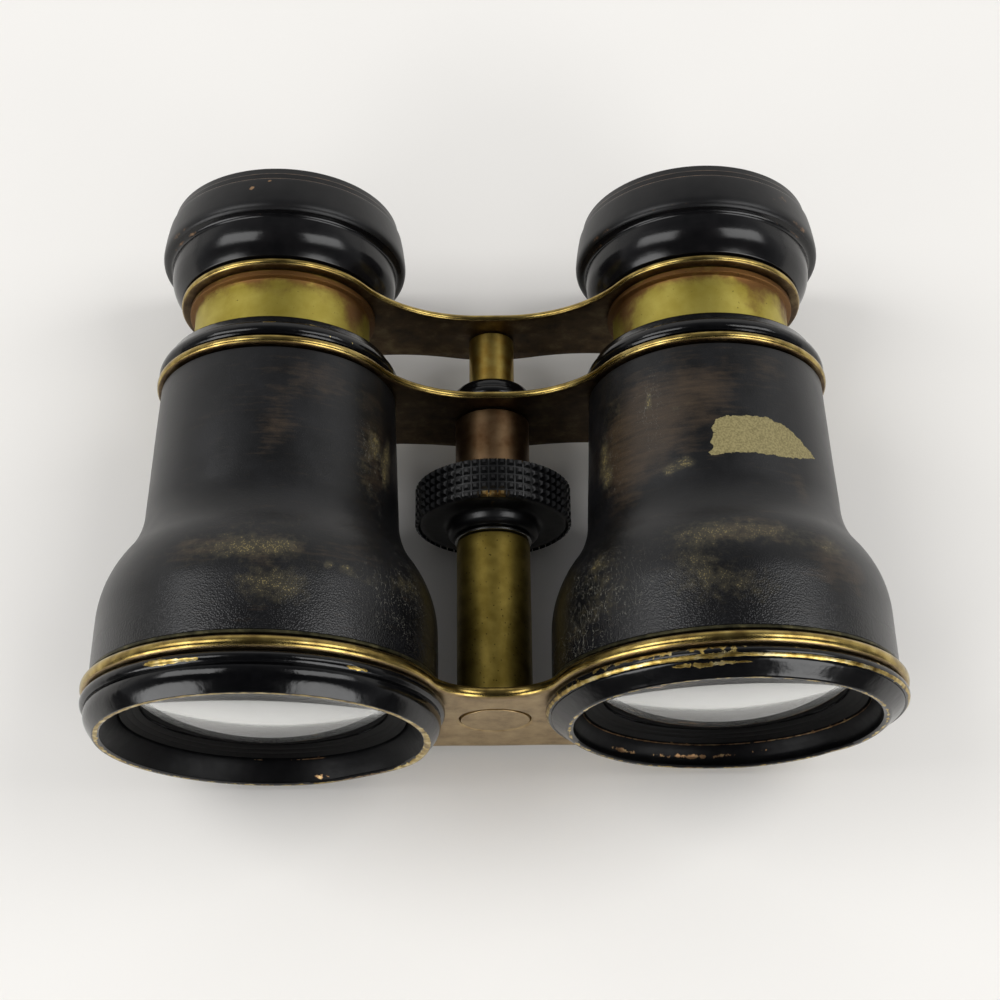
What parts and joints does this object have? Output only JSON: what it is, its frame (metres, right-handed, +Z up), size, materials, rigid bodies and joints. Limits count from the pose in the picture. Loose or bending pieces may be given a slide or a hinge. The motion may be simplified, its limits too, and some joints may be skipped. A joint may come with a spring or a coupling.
{
  "type": "field glasses",
  "caption": "Rigid field glasses: bell-shaped leather-covered barrels joined by bridges, with a knurled wheel on the middle column that slides the eyepieces to focus.",
  "frame": {"origin": "the middle of the footprint on the table, on the table's surface", "axes": "x across the barrels, from the left one to the right one as seen from the objectives; y level, from the objectives towards the eyes; z up. The barrels slope down towards the eyes by 5.35 degrees."},
  "size_m": [0.1126, 0.085, 0.0495],
  "materials": {
    "brass": "aged, satin, with dark pits",
    "dark_brass": "brown patina with bright edges",
    "copper": "worn brown, satin",
    "japan": "glossy black japan, worn at the edges",
    "matt": "matt black",
    "leather": "fine black grain, rubbed",
    "steel": "bright",
    "felt": "black felt",
    "glass": "polished, clear"
  },
  "bodies": {
    "glasses_body": {"barrel_collar_left": "japan", "barrel_collar_right": "japan", "barrel_leather_left": "leather", "barrel_leather_right": "leather", "barrel_tube_left": "brass", "barrel_tube_right": "brass", "column_plug": "brass", "column_sleeve": "copper", "column_tube": "brass", "column_washer": "steel", "draw_tube_seal_left": "felt", "draw_tube_seal_right": "felt", "gland_nut": "japan", "lower_bridge": "dark_brass", "middle_bridge": "dark_brass", "objective_cell_left": "japan", "objective_cell_right": "japan", "objective_crown_lens_left": "glass", "objective_crown_lens_right": "glass", "objective_flint_lens_left": "glass", "objective_flint_lens_right": "glass", "objective_retaining_ring_left": "matt", "objective_retaining_ring_right": "matt"},
    "wheel_assembly": {"focus_wheel": "japan", "wheel_nut": "brass"},
    "eyepiece_carriage": {"eye_bridge": "dark_brass", "focus_post": "brass", "post_stop": "steel", "bridge_screw": "brass", "draw_tube_left": "brass", "eyecup_left": "japan", "eye_lens_left": "glass", "eye_lens_ring_left": "matt", "draw_tube_right": "brass", "eyecup_right": "japan", "eye_lens_right": "glass", "eye_lens_ring_right": "matt"}
  },
  "joints": [
    {"name": "focus_wheel_turn", "type": "hinge", "parent": "glasses_body", "child": "wheel_assembly", "pos_m": [0, -0.00615, 0.01387], "axis": [0, -0.9956, 0.0933], "range_deg": [-288, 144]},
    {"name": "eyepiece_slide", "type": "slide", "parent": "glasses_body", "child": "eyepiece_carriage", "axis": [0, 0.9956, -0.0933], "range_m": [-0.008, 0.004]}
  ],
  "couplings": [
    {"joint": "focus_wheel_turn", "follows": "eyepiece_slide", "rad_per_m": 628.3}
  ]
}
